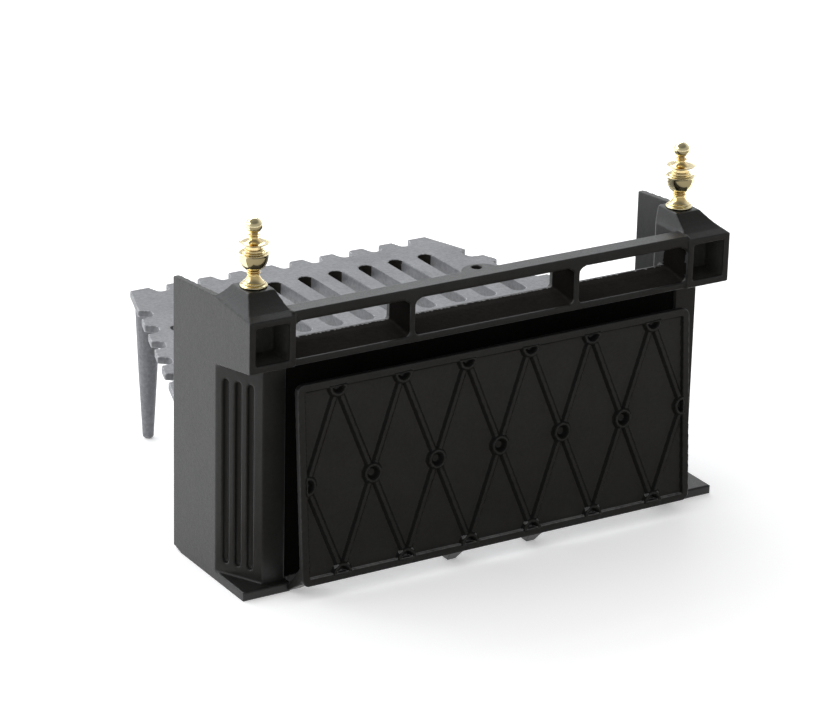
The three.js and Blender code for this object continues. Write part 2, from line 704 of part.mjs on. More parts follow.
function bottomGrate() {
  const legX = grateBackWidth / 2 - legInset;
  const legY = grateBackY - legSetback;
  const frontLegX = halfFront - frontLegInset;
  const legs = [[-legX, legY], [legX, legY], [-frontLegX, frontLegY], [frontLegX, frontLegY]];
  const toothed = cut(gratePlateSolid(), grateNotches());
  const body = join([toothed, ...grateField(), ...legs.map(([x, y]) => grateLeg(x, y))]);
  return cut(body, slotCutters());
}

// ---------- finials ----------

const rodHoleRadius = rodRadius + boreClearance;
const finialFootZ = capTopZ + seatGap;
const urnZ = finialFootZ + finialFootHeight + seatGap;
const knobZ = urnZ + urnHeight + seatGap;

// closes an outer profile, listed from the bottom up, with a plain bore down the middle
function bored(profile, bore = rodHoleRadius) {
  const top = profile[profile.length - 1][1];
  const bottom = profile[0][1];
  return [[bore, bottom], ...profile, [bore, top], [bore, bottom]];
}

function finialFoot() {
  const rim = finialFootRadius;
  const stem = finialStemRadius;
  const bell = [];
  for (let i = 0; i <= 5; i++) {
    const t = i / 5;
    bell.push([THREE.MathUtils.lerp(rim * 0.9, stem, 1 - (1 - t) ** 1.9), 2.2 + t * (finialFootHeight - 5.2)]);
  }
  return bored([[rim - 0.5, 0], [rim, 0.5], [rim, 1.3], [rim * 0.93, 2], ...bell,
    [stem, finialFootHeight - 1.8], [stem + 0.7, finialFootHeight - 1], [stem + 0.5, finialFootHeight]]);
}

function finialUrn() {
  const bowlHeight = urnHeight * 0.6;
  const bowl = [];
  for (let i = 0; i <= 6; i++) {
    const angle = (i / 6) * Math.PI / 2;
    bowl.push([
      THREE.MathUtils.lerp(finialStemRadius, urnRadius - 0.4, Math.sin(angle)),
      1 + (bowlHeight - 1) * (1 - Math.cos(angle)),
    ]);
  }
  return bored([[finialStemRadius, 0], ...bowl,
    [urnRadius, bowlHeight + 0.5], [urnRadius, bowlHeight + 1.5], [urnRadius - 0.7, bowlHeight + 2.1],
    [urnNeckRadius + 2.2, bowlHeight + 2.3], [urnNeckRadius + 2, bowlHeight + 3.6],
    [urnNeckRadius + 0.6, bowlHeight + 3.9], [urnNeckRadius + 0.4, urnHeight - 1.6],
    [urnNeckRadius, urnHeight - 1.3], [urnNeckRadius, urnHeight]]);
}

function finialKnob() {
  const neckFoot = urnNeckRadius - 0.7;
  const neckWaist = ballRadius * 0.53;
  const collarZ = ballCentreRise - ballRadius - 2.6;
  const outer = [[discRadius - 0.4, 0], [discRadius, 0.4], [discRadius, discThickness],
    [discRadius - 0.6, discThickness + 0.1], [neckFoot + 0.5, discThickness - 0.2], [neckFoot, discThickness + 0.6]];
  for (let i = 1; i <= 4; i++) {
    const t = i / 4;
    outer.push([THREE.MathUtils.lerp(neckFoot, neckWaist, 1 - (1 - t) ** 2),
      THREE.MathUtils.lerp(discThickness + 0.6, collarZ - 0.6, t)]);
  }
  outer.push([neckWaist + 1.2, collarZ], [neckWaist + 1.2, collarZ + 0.9], [neckWaist, collarZ + 1.5]);
  const start = Math.asin(neckWaist / ballRadius);
  for (let i = 0; i <= 8; i++) {
    const angle = Math.PI - start - (i / 8) * (Math.PI - start);
    const radius = i === 8 ? 0 : ballRadius * Math.sin(angle);
    outer.push([radius, ballCentreRise + ballRadius * Math.cos(angle)]);
  }
  return [[0, knobBore], [rodHoleRadius, knobBore], [rodHoleRadius, 0], ...outer];
}

const washerTopZ = capTopZ - capRoofThickness - seatGap;
const nutTopZ = washerTopZ - washerThickness - seatGap;
const rodBottomZ = nutTopZ - nutHeight - rodTail;
const rodTopZ = knobZ + knobBore - seatGap;

function washerProfile() {
  return bored([[washerRadius, 0], [washerRadius, washerThickness]]);
}

function rodProfile() {
  const length = rodTopZ - rodBottomZ;
  return [[0, 0], [rodRadius - 0.4, 0], [rodRadius, 0.4], [rodRadius, length - 0.4], [rodRadius - 0.4, length],
    [0, length]];
}

function nutShape() {
  const nut = new THREE.Shape();
  const corner = nutFlats / Math.sqrt(3);
  for (let i = 0; i < 6; i++) {
    const angle = i * Math.PI / 3;
    const point = [corner * Math.cos(angle), corner * Math.sin(angle)];
    if (i === 0) nut.moveTo(...point);
    else nut.lineTo(...point);
  }
  const hole = new THREE.Path();
  hole.absarc(0, 0, rodHoleRadius, 0, 2 * Math.PI, false);
  nut.holes.push(hole);
  return nut;
}

// ---------- materials and assembly ----------

const blackIron = new THREE.MeshStandardMaterial({ color: 0x2a2a28, roughness: 0.62, metalness: 0.2 });
const greyIron = new THREE.MeshStandardMaterial({ color: 0x8f9297, roughness: 0.7, metalness: 0.4 });
const brass = new THREE.MeshStandardMaterial({ color: 0xc9a24e, roughness: 0.2, metalness: 1 });
const steel = new THREE.MeshStandardMaterial({ color: 0x9a9a98, roughness: 0.4, metalness: 1 });

const assembly = new THREE.Group();
assembly.name = 'fire_front_set';

function addMesh(name, geometry, material, place = [0, 0, 0]) {
  const mesh = new THREE.Mesh(geometry, material);
  mesh.name = name;
  mesh.position.set(...place);
  assembly.add(mesh);
}

addMesh('fire_front', toGeometry(fireFront()), blackIron);
addMesh('ash_cover', toGeometry(ashCover()), blackIron);
addMesh('bottom_grate', toGeometry(bottomGrate()), greyIron);

for (const [side, x] of [['left', -finialX], ['right', finialX]]) {
  const turnedPieces = [
    ['foot', finialFoot(), roundSegments, brass, finialFootZ],
    ['urn', finialUrn(), roundSegments, brass, urnZ],
    ['knob', finialKnob(), roundSegments, brass, knobZ],
    ['rod', rodProfile(), smallSegments, steel, rodBottomZ],
    ['washer', washerProfile(), smallSegments, steel, washerTopZ - washerThickness],
  ];
  for (const [piece, profile, segments, material, z] of turnedPieces) {
    addMesh(`finial_${piece}_${side}`, toGeometry(toSolid(turned(profile, segments))), material, [x, finialY, z]);
  }
  addMesh(`finial_nut_${side}`, toGeometry(planSlab(nutShape(), 0, nutHeight, 6)), steel,
    [x, finialY, nutTopZ - nutHeight]);
}

// the origin is the middle of the footprint
const footprint = new THREE.Box3().setFromObject(assembly);
assembly.position.y = -(footprint.min.y + footprint.max.y) / 2;

export default assembly;
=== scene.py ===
import math

import bmesh
import bpy
from mathutils import Matrix, Vector


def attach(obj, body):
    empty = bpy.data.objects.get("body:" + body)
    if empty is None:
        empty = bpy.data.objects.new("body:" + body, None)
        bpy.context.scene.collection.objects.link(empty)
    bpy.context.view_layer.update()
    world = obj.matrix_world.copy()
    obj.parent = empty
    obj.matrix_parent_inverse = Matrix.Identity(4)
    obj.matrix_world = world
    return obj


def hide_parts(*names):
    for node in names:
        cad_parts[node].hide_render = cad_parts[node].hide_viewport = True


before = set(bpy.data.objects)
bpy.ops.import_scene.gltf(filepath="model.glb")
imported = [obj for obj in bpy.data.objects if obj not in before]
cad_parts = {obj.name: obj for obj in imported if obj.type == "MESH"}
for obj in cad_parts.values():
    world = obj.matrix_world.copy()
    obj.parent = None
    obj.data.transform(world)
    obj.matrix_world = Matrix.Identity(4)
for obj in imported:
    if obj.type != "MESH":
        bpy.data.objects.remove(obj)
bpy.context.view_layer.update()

# ---------- named sizes, metres unless a comment says otherwise ----------

CAD_BACK = 0.167845          # the construction frame's y = 0 lies this far in front of the origin

# castings: voxel size, share of the triangles kept, passes of smoothing
VOXEL = {"fire_front": 0.0009, "ash_cover": 0.00065, "bottom_grate": 0.0010}
KEEP_SHARE = {"fire_front": 0.24, "ash_cover": 0.22, "bottom_grate": 0.24}
ROUNDING = {"fire_front": 2, "ash_cover": 1, "bottom_grate": 2}
SMOOTHING = 0.5

# finials: the sizes of the solids, and what the turned forms change
FINIAL_X = 0.2002
FINIAL_Y = 0.0397 - CAD_BACK
FOOT_Z, FOOT_HEIGHT = 0.2513, 0.0132
URN_Z, URN_HEIGHT = 0.2648, 0.0196
KNOB_Z = 0.2847
BORE = 0.00185
FOOT_RADIUS = 0.0109
STEM_RADIUS = 0.0045
URN_RADIUS = 0.0120
URN_NECK = 0.0064
DISC_RADIUS = 0.0118
DISC_THICKNESS = 0.0011
DISC_RISE = 0.0020           # the disc stands this far above the foot of the knob
BALL_RADIUS = 0.0063
BALL_RISE = 0.0162
KNOB_BORE = 0.0105
BALL_SQUASH = 1.08           # the ball is a little wider than it is high
BOWL_SHARE = 0.64            # the bowl takes this share of the urn's height
RIM_ROLL = 0.0009            # radius of the foot's rolled rim
BEAD = 0.0006                # radius of the beads on the foot and of the urn's rim and neck ring
STEP_BEAD = 0.0007           # radius of the ring above the urn's rim
DISC_EDGE = 0.00045          # radius of the disc's edge
COLLAR_BEAD = 0.0004         # radius of the ring under the ball
LATHE_STEPS = 96
BELL_STEPS, BOWL_STEPS, NECK_STEPS, BALL_STEPS = 18, 21, 14, 28
BELL_CURVE, NECK_CURVE = 1.7, 2.3
SHARP_ANGLE = math.radians(38)
ON_AXIS = 1e-7

# finishes of the castings, each in the order in which cast_piece is given its materials
PLAIN = 0
SHADE_PAINTED, POCKET_LIT = 1, 2        # fire front: painted shade, and painted light in the pockets
FLANK_SHADED, LEDGE_RUBBED_AND_LIT = 1, 2       # ash cover: painted shade on the flanks, and a rubbed ledge with a painted highlight
SHADED = 1                   # bottom grate

# where the fire front gets painted shade, a matt dark iron for the shadow on the sill, inside the
# openings and on the plate between the pillars: boxes of (x, y, z), construction frame's
# millimetres
PAINTED_SHADE_BOXES = (
    ((-186.0, 186.0), (4.4, 36.0), (198.6, 227.0)),      # sill and the sides of the openings
    ((-184.0, 184.0), (17.2, 20.5), (8.6, 194.4)),       # the plate between the pillars
)
SHADE_FRAME_TOP = 0.195           # above this height, faces that look forwards stay plain
FRAME_FACING = -0.6

# painted light: the pockets in the fronts of the corner boxes, the same way, take a lighter,
# flatter iron for the light that falls in them
POCKET_LIGHT_BOXES = (
    ((-220.5, -189.0), (2.0, 30.0), (199.0, 233.0)),
    ((189.0, 220.5), (2.0, 30.0), (199.0, 233.0)),
)

# the ash cover's face: how far it leans back, the field inside its rim (half its width, lowest
# and highest z), and how squarely a flank faces the front
COVER_LEAN = math.radians(4.2)
COVER_FIELD = (0.1832, 0.0125, 0.1765)
FLANK = (0.10, 0.95)
LEDGE, LEDGE_TOP = 0.45, 0.026       # the ledge of the bottom rim, rubbed and given a painted highlight, looks up more than this

# the ends of the grate's slots: y and z ranges, and how far they must face the front
SLOT_ENDS = ((0.050 - CAD_BACK, 0.318 - CAD_BACK), (0.115, 0.1335), -0.30)
GRATE_BACK = (0.3525 - CAD_BACK, 0.148, 0.343)   # back edge, half its width, run-out of the sides
SIDE_NOTCH = 0.016
OUTER_SLOT = 0.138

# the grate's legs: axes in x and y, what smoothing takes off, up to which height, and how near
# to an axis a leg's surface lies
LEGS = ((0.1374, 0.3399 - CAD_BACK), (0.168, 0.092 - CAD_BACK))
LEG_FATTEN = 0.0010
LEG_TOP = 0.118
LEG_SURFACE = (0.001, 0.016)

# the mouth of the ash pit, construction frame's millimetres: half its width, the foot of its toe
# beyond that, how far its edge comes in, and where its plate lies in y and ends in z
MOUTH_HALF, MOUTH_TOE, MOUTH_NARROW = 169.5, 10.0, 4.0
MOUTH_PLATE = (17.9, 23.6)
MOUTH_TOP = 118.5

# noise of the castings' skin: scale, detail, roughness
CLOUDS = (28.0, 5.0, 0.55)
GRAIN = (900.0, 3.0, 0.65)
PITS = (330.0, 2.0, 0.5)
SWELL = (60.0, 2.0, 0.4)
EDGE_WEAR_AND_GLINT = (0.52, 0.59)   # pointiness at which an edge begins to take its worn and glinting colour, and fully takes it
# normal z over which the painted side shade fades out
LOOKS_UP = (0.3, 0.8)

# brass: radii between which it turns pale, a painted reflection, and pointiness between which it
# is a brown crease
PAINTED_PALE_FROM, PAINTED_PALE_TO = 0.0045, 0.0090
CREASE = (0.41, 0.495)

# the camera that was fitted to the photograph
CAMERA_DISTANCE = 2.932
CAMERA_TARGET = Vector((-0.0801, -CAD_BACK, 0.17892))
CAMERA_YAW = math.radians(31.621)
CAMERA_PITCH = math.radians(21.655)
CAMERA_ROLL = math.radians(1.360)
CAMERA_FOCAL_PIXELS = 3723.4
CAMERA_REACH = 60
IMAGE_WIDTH = 822
SENSOR = 36.0                # millimetres

# the studio: half the floor's side, what it shines by itself to the camera and in reflections
FLOOR_HALF = 14.0
FLOOR_SEEN, FLOOR_MIRRORED = 0.34, 0.60
MAT_HEIGHT = 0.001
WHITE = (1, 1, 1, 1)


# ---------- node helpers ----------

class Tree:
    """A material or world node tree with short calls to add and join nodes."""

    def __init__(self, tree):
        self.tree = tree
        tree.nodes.clear()

    def add(self, kind, inputs=None, **settings):
        node = self.tree.nodes.new(kind)
        for key, value in settings.items():
            setattr(node, key, value)
        for key, value in (inputs or {}).items():
            self.feed(node.inputs[key], value)
        return node

    def feed(self, socket, value):
        if isinstance(value, bpy.types.NodeSocket):
            self.tree.links.new(value, socket)
        else:
            socket.default_value = value

    def noise(self, scale, detail, rough, coords):
        node = self.add("ShaderNodeTexNoise", {
            "Scale": scale, "Detail": detail, "Roughness": rough, "Vector": coords})
        return node.outputs["Fac"]

    def spread(self, value, low, high, out_low=0.0, out_high=1.0):
        node = self.add("ShaderNodeMapRange", {
            "Value": value, "From Min": low, "From Max": high,
            "To Min": out_low, "To Max": out_high})
        node.clamp = True
        return node.outputs["Result"]

    def mix(self, amount, a, b):
        node = self.add("ShaderNodeMix", data_type="RGBA")
        self.feed(node.inputs[0], amount)
        self.feed(node.inputs[6], a)
        self.feed(node.inputs[7], b)
        return node.outputs[2]

    def math(self, operation, a, b=0.0):
        node = self.add("ShaderNodeMath", operation=operation)
        self.feed(node.inputs[0], a)
        self.feed(node.inputs[1], b)
        return node.outputs[0]

    def weighed(self, a, a_share, b, b_share):
        return self.math("ADD", self.math("MULTIPLY", a, a_share),
                         self.math("MULTIPLY", b, b_share))

    def bump(self, height, strength, distance, normal=None):
        node = self.add("ShaderNodeBump", {
            "Height": height, "Strength": strength, "Distance": distance})
        if normal is not None:
            self.feed(node.inputs["Normal"], normal)
        return node.outputs["Normal"]


def material(name):
    mat = bpy.data.materials.new(name)
    mat.use_nodes = True
    tree = Tree(mat.node_tree)
    shader = tree.add("ShaderNodeBsdfPrincipled")
    out = tree.add("ShaderNodeOutputMaterial")
    tree.feed(out.inputs["Surface"], shader.outputs[0])
    coords = tree.add("ShaderNodeTexCoord").outputs["Object"]
    return mat, tree, shader, coords


def cast_iron(name, dark, light, edge_wear_and_glint, rough, metal, level, grain_strength, painted_side_shade=1.0):
    """Sand-cast iron: cloudy tone, fine grain, edges brighter from wear, and where their colour is
    near white also from a painted glint.

    Painted side shade: this darkens what doesn't look up, and 1 leaves it as it is.
    """
    mat, t, shader, coords = material(name)
    clouds = t.noise(*CLOUDS, coords)
    grain = t.noise(*GRAIN, coords)
    pits = t.noise(*PITS, coords)
    swell = t.noise(*SWELL, coords)
    cloudy = t.weighed(t.spread(clouds, 0.32, 0.68), 0.5, t.spread(pits, 0.3, 0.7), 0.5)
    tone = t.mix(cloudy, dark, light)
    geometry = t.add("ShaderNodeNewGeometry").outputs
    upward = t.add("ShaderNodeSeparateXYZ", {"Vector": geometry["Normal"]}).outputs["Z"]
    # painted shade: faces that don't look up are darkened, so tops stay lighter
    tone = t.mix(t.spread(upward, *LOOKS_UP, painted_side_shade, 1.0), (0, 0, 0, 1), tone)
    # edges brighter: wear, and where the edge colour is near white, as on the grate, a painted
    # glint
    rubbed = t.math("MULTIPLY", t.spread(geometry["Pointiness"], *EDGE_WEAR_AND_GLINT),
                    t.spread(pits, 0.35, 0.6, 0.15, 1.0))
    t.feed(shader.inputs["Base Color"], t.mix(rubbed, tone, edge_wear_and_glint))
    t.feed(shader.inputs["Roughness"], t.spread(grain, 0.3, 0.7, rough - 0.07, rough + 0.09))
    shader.inputs["Metallic"].default_value = metal
    shader.inputs["Specular IOR Level"].default_value = level
    fine = t.bump(t.weighed(grain, 0.55, pits, 0.45), grain_strength, 0.0004)
    t.feed(shader.inputs["Normal"], t.bump(swell, 0.12, 0.0012, fine))
    return mat


def polished_brass(name):
    """Lacquered turned brass: golden where narrow and pale where wide and on the ball, both
    painted reflections; brown in the creases.
    """
    mat, t, shader, coords = material(name)
    place = t.add("ShaderNodeSeparateXYZ", {"Vector": coords}).outputs
    # painted reflection: golden near the axis, pale further out and over the ball
    across = t.math("SUBTRACT", t.math("ABSOLUTE", place["X"]), FINIAL_X)
    along = t.math("SUBTRACT", place["Y"], FINIAL_Y)
    squares = t.math("ADD", t.math("MULTIPLY", across, across), t.math("MULTIPLY", along, along))
    radius = t.math("SQRT", squares)
    ball_foot = KNOB_Z + BALL_RISE - BALL_RADIUS
    ball = t.spread(place["Z"], ball_foot, ball_foot + 0.001)
    pale = t.math("MAXIMUM", t.spread(radius, PAINTED_PALE_FROM, PAINTED_PALE_TO), ball)
    tone = t.mix(pale, (0.80, 0.60, 0.26, 1), (0.85, 0.75, 0.46, 1))
    edges = t.add("ShaderNodeNewGeometry").outputs["Pointiness"]
    t.feed(shader.inputs["Base Color"],
           t.mix(t.spread(edges, *CREASE), (0.26, 0.16, 0.05, 1), tone))
    scratches = t.noise(1400.0, 2.0, 0.6, coords)
    t.feed(shader.inputs["Roughness"], t.spread(scratches, 0.3, 0.7, 0.08, 0.14))
    shader.inputs["Metallic"].default_value = 1.0
    turning = t.add("ShaderNodeTexWave",
                    {"Vector": coords, "Scale": 700.0, "Distortion": 0.6, "Detail": 1.0},
                    wave_type="BANDS", bands_direction="Z").outputs["Fac"]
    t.feed(shader.inputs["Normal"],
           t.bump(turning, 0.05, 0.00008, t.bump(scratches, 0.03, 0.0001)))
    return mat


def plated_steel(name):
    mat, t, shader, coords = material(name)
    crystals = t.noise(420.0, 3.0, 0.6, coords)
    t.feed(shader.inputs["Base Color"],
           t.mix(t.spread(crystals, 0.3, 0.7), (0.46, 0.47, 0.48, 1), (0.6, 0.6, 0.59, 1)))
    t.feed(shader.inputs["Roughness"], t.spread(crystals, 0.3, 0.7, 0.3, 0.42))
    shader.inputs["Metallic"].default_value = 1.0
    t.feed(shader.inputs["Normal"], t.bump(crystals, 0.08, 0.0002))
    return mat


BLACK = cast_iron(
    "black_cast_iron", dark=(0.0080, 0.0080, 0.0074, 1), light=(0.0150, 0.0150, 0.0138, 1),
    edge_wear_and_glint=(0.055, 0.056, 0.057, 1), rough=0.40, metal=0.0, level=0.34, grain_strength=0.42)
# painted shade: a matt, dark iron that stands in for the shadow on the sill, inside the openings
# and on the plate between the pillars
PAINTED_SHADE = cast_iron(
    "painted_shade_cast_iron", dark=(0.0090, 0.0080, 0.0071, 1), light=(0.0165, 0.0147, 0.0130, 1),
    edge_wear_and_glint=(0.060, 0.057, 0.053, 1), rough=0.80, metal=0.0, level=0.012, grain_strength=0.5,
    painted_side_shade=0.45)
# painted shade: a matt, dark iron on the flanks of the cover's ribs, rings and rim
FLANK_SHADE = cast_iron(
    "flank_shade_cast_iron", dark=(0.0065, 0.0065, 0.0060, 1), light=(0.0100, 0.0100, 0.0092, 1),
    edge_wear_and_glint=(0.045, 0.045, 0.044, 1), rough=0.62, metal=0.0, level=0.08, grain_strength=0.45)
# the grate's edges are near white: rubbed wear, and painted glints along the slots' edges
GREY = cast_iron(
    "grey_cast_iron", dark=(0.110, 0.113, 0.122, 1), light=(0.225, 0.230, 0.243, 1),
    edge_wear_and_glint=(0.80, 0.81, 0.83, 1), rough=0.46, metal=0.1, level=0.5, grain_strength=1.0)
# painted shade: a dark iron on the far ends of the grate's slots
SHADOWED = cast_iron(
    "painted_shadow_grey_cast_iron", dark=(0.012, 0.011, 0.009, 1), light=(0.030, 0.027, 0.023, 1),
    edge_wear_and_glint=(0.10, 0.10, 0.10, 1), rough=0.8, metal=0.0, level=0.05, grain_strength=0.6)
# painted light: a lighter, flatter iron that stands in for the light inside the pockets
POCKET_LIGHT = cast_iron(
    "pocket_light_cast_iron", dark=(0.026, 0.026, 0.023, 1), light=(0.042, 0.042, 0.037, 1),
    edge_wear_and_glint=(0.11, 0.11, 0.105, 1), rough=0.6, metal=0.0, level=0.15, grain_strength=0.5)
# rubbed wear and painted highlight: a lighter iron on the up-facing ledge of the cover's bottom
# rim
RUBBED_AND_HIGHLIT = cast_iron(
    "rubbed_and_highlit_cast_iron", dark=(0.040, 0.040, 0.039, 1), light=(0.17, 0.17, 0.168, 1),
    edge_wear_and_glint=(0.24, 0.24, 0.24, 1), rough=0.42, metal=0.0, level=0.45, grain_strength=0.8)
BRASS = polished_brass("polished_brass")
STEEL = plated_steel("plated_steel")


# ---------- mesh helpers ----------

def add_object(name, mesh):
    obj = bpy.data.objects.new(name, mesh)
    bpy.context.scene.collection.objects.link(obj)
    return obj


def evaluated_copy(obj):
    graph = bpy.context.evaluated_depsgraph_get()
    return bpy.data.meshes.new_from_object(obj.evaluated_get(graph))


def millimetres(place):
    """A place of this scene in the construction frame's millimetres."""
    return place.x * 1000, (place.y + CAD_BACK) * 1000, place.z * 1000


def narrow_mouth(mesh):
    """Brings the edges of the ash pit's mouth in behind the cover, and draws its toes out."""
    for vertex in mesh.vertices:
        x, y, z = millimetres(vertex.co)
        reach = MOUTH_HALF + MOUTH_TOE - abs(x)
        if MOUTH_PLATE[0] < y < MOUTH_PLATE[1] and z < MOUTH_TOP and 0 < reach:
            if reach < MOUTH_TOE:
                drawn = reach * (1 + MOUTH_NARROW / MOUTH_TOE)
            else:
                drawn = reach + MOUTH_NARROW
            vertex.co.x = math.copysign((MOUTH_HALF + MOUTH_TOE - drawn) / 1000, x)


def fatten_legs(mesh):
    """Gives the grate's legs back what the smoothing takes off."""
    for vertex in mesh.vertices:
        if vertex.co.z < LEG_TOP:
            for leg_x, leg_y in LEGS:
                offset = Vector((vertex.co.x - math.copysign(leg_x, vertex.co.x),
                                 vertex.co.y - leg_y, 0))
                if LEG_SURFACE[0] < offset.length < LEG_SURFACE[1]:
                    vertex.co += offset.normalized() * LEG_FATTEN


def within(face, boxes):
    place = millimetres(face.center)
    return any(all(low < value < high for value, (low, high) in zip(place, box)) for box in boxes)


def front_finish(face, normal):
    """Painted shade on the sill, in the openings and on the plate between the pillars, painted
    light in the pockets; the front of the bars' frame stays plain.
    """
    if within(face, PAINTED_SHADE_BOXES):
        return SHADE_PAINTED if face.center.z < SHADE_FRAME_TOP or normal.y > FRAME_FACING else PLAIN
    return POCKET_LIT if within(face, POCKET_LIGHT_BOXES) else PLAIN


def cover_finish(face, normal):
    """Painted shade on the flanks of ribs, rings and rim, and a rubbed ledge at the foot with a
    painted highlight where it looks up.
    """
    half, low, high = COVER_FIELD
    squareness = normal.dot(Vector((0, -math.cos(COVER_LEAN), math.sin(COVER_LEAN))))
    in_field = abs(face.center.x) < half and low < face.center.z < high
    if not (in_field and FLANK[0] < squareness < FLANK[1]):
        return PLAIN
    return LEDGE_RUBBED_AND_LIT if normal.z > LEDGE and face.center.z < LEDGE_TOP else FLANK_SHADED


def grate_finish(face, normal):
    """Painted shade on the far ends of the slots, which no light reaches."""
    (y0, y1), (z0, z1), facing = SLOT_ENDS
    back, half, taper = GRATE_BACK
    edge = min(OUTER_SLOT, half + (back - face.center.y) * taper - SIDE_NOTCH)
    inside = abs(face.center.x) < edge and y0 < face.center.y < y1 and z0 < face.center.z < z1
    return SHADED if inside and normal.y < facing else PLAIN


def cast_piece(node, finishes, finish_of, body):
    """The node's solid with the rounded edges that a sand casting has."""
    work = add_object("work_" + node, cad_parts[node].data.copy())
    if node == "fire_front":
        narrow_mouth(work.data)
    if node == "bottom_grate":
        fatten_legs(work.data)
    remesh = work.modifiers.new("even", "REMESH")
    remesh.mode = "VOXEL"
    remesh.voxel_size = VOXEL[node] * 1
    smooth = work.modifiers.new("round", "SMOOTH")
    smooth.factor = SMOOTHING
    smooth.iterations = ROUNDING[node]
    fine = evaluated_copy(work)
    work.modifiers.clear()
    work.data = fine
    thin = work.modifiers.new("thin", "DECIMATE")
    thin.ratio = KEEP_SHARE[node]
    mesh = evaluated_copy(work)
    bpy.data.objects.remove(work)
    mesh.materials.clear()
    for finish in finishes:
        mesh.materials.append(finish)
    normals = [sum((mesh.vertices[v].normal for v in face.vertices), Vector()).normalized()
               for face in mesh.polygons]
    marks = [finish_of(face, normal) for face, normal in zip(mesh.polygons, normals)]
    mesh.polygons.foreach_set("material_index", marks)
    mesh.polygons.foreach_set("use_smooth", [True] * len(mesh.polygons))
    mesh.update()
    piece = add_object(node + "_cast", mesh)
    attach(piece, body)
    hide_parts(node)


def arc(centre, radius, start, end, steps):
    """Points (r, z) on a circle about centre, angles in degrees from the +r direction."""
    points = []
    for i in range(steps + 1):
        angle = math.radians(start + (end - start) * i / steps)
        points.append((centre[0] + radius * math.cos(angle), centre[1] + radius * math.sin(angle)))
    return points


def eased(start, end, share, power):
    """From start to end, quickly at first; a higher power makes it quicker."""
    return start + (end - start) * (1 - (1 - share) ** power)


def lathe(name, node, profile, x, base_z):
    """A closed profile of (r, z), listed once round, turned about the finial's axis."""
    bm = bmesh.new()
    rings = []
    for r, z in profile:
        if r < ON_AXIS:
            rings.append([bm.verts.new((x, FINIAL_Y, base_z + z))])
            continue
        rings.append([bm.verts.new((x + r * math.cos(2 * math.pi * k / LATHE_STEPS),
                                    FINIAL_Y + r * math.sin(2 * math.pi * k / LATHE_STEPS),
                                    base_z + z))
                      for k in range(LATHE_STEPS)])
    closed = len(rings[0]) > 1 and len(rings[-1]) > 1
    pairs = list(zip(rings, rings[1:])) + ([(rings[-1], rings[0])] if closed else [])
    for low, high in pairs:
        for k in range(LATHE_STEPS):
            n = (k + 1) % LATHE_STEPS
            corners = [low[k % len(low)], low[n % len(low)],
                       high[n % len(high)], high[k % len(high)]]
            bm.faces.new(list(dict.fromkeys(corners)))
    bmesh.ops.recalc_face_normals(bm, faces=bm.faces)
    mesh = bpy.data.meshes.new(name)
    bm.to_mesh(mesh)
    bm.free()
    mesh.materials.append(BRASS)
    mesh.polygons.foreach_set("use_smooth", [True] * len(mesh.polygons))
    mesh.set_sharp_from_angle(angle=SHARP_ANGLE)
    piece = add_object(name, mesh)
    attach(piece, "front")
    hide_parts(node)


# ---------- castings ----------

cast_piece("fire_front", (BLACK, PAINTED_SHADE, POCKET_LIGHT), front_finish, "front")
cast_piece("ash_cover", (BLACK, FLANK_SHADE, RUBBED_AND_HIGHLIT), cover_finish, "cover")
cast_piece("bottom_grate", (GREY, SHADOWED), grate_finish, "grate")


# ---------- finials: profiles of (r, z), with the small steps of their mouldings ----------

def foot_profile():
    rim, stem, top = FOOT_RADIUS, STEM_RADIUS, FOOT_HEIGHT
    bell_wide, bell_low, bell_high = rim - 0.0033, 0.0041, top - 0.0031
    points = [(BORE, 0)]
    points += arc((rim - RIM_ROLL, RIM_ROLL), RIM_ROLL, -90, 75, 10)
    points += [(rim - 0.0014, 0.0019), (rim - 0.0022, 0.0023)]
    points += arc((rim - 0.0026, 0.0030), BEAD, -50, 80, 6)
    points += [(rim - 0.0030, 0.0038)]
    for i in range(BELL_STEPS + 1):
        t = i / BELL_STEPS
        points.append((eased(bell_wide, stem, t, BELL_CURVE),
                       bell_low + t * (bell_high - bell_low)))
    points += arc((stem + 0.0003, bell_high + 0.0007), BEAD, -60, 60, 6)
    points += [(stem - 0.0001, bell_high + 0.0014), (stem - 0.0001, top - 0.0014)]
    points += arc((stem, top - 0.0007), BEAD, -70, 80, 6)
    points += [(stem - 0.0002, top), (BORE, top)]
    return points


def urn_profile():
    bowl_top = URN_HEIGHT * BOWL_SHARE
    bowl_foot = 0.0005
    spread = URN_RADIUS - 0.0009 - STEM_RADIUS
    points = [(BORE, 0), (STEM_RADIUS + 0.0006, 0), (STEM_RADIUS + 0.0007, 0.0003)]
    for i in range(BOWL_STEPS + 1):
        angle = (i / BOWL_STEPS) * math.pi / 2
        points.append((STEM_RADIUS + bowl_foot + spread * math.sin(angle),
                       bowl_foot + (bowl_top - bowl_foot) * (1 - math.cos(angle))))
    points += arc((URN_RADIUS - BEAD, bowl_top + 0.0009), BEAD, -35, 120, 10)
    step = URN_NECK + 0.0021
    points += [(step + 0.0011, bowl_top + 0.0006), (step + 0.0006, bowl_top + 0.0008)]
    points += arc((step, bowl_top + 0.0016), STEP_BEAD, -60, 80, 8)
    points += [(URN_NECK + 0.0010, bowl_top + 0.0026), (URN_NECK + 0.0008, bowl_top + 0.0034)]
    points += arc((URN_NECK + 0.0004, bowl_top + 0.0041), BEAD, -50, 80, 6)
    points += [(URN_NECK - 0.0003, bowl_top + 0.0049), (URN_NECK - 0.0006, URN_HEIGHT),
               (BORE, URN_HEIGHT)]
    return points


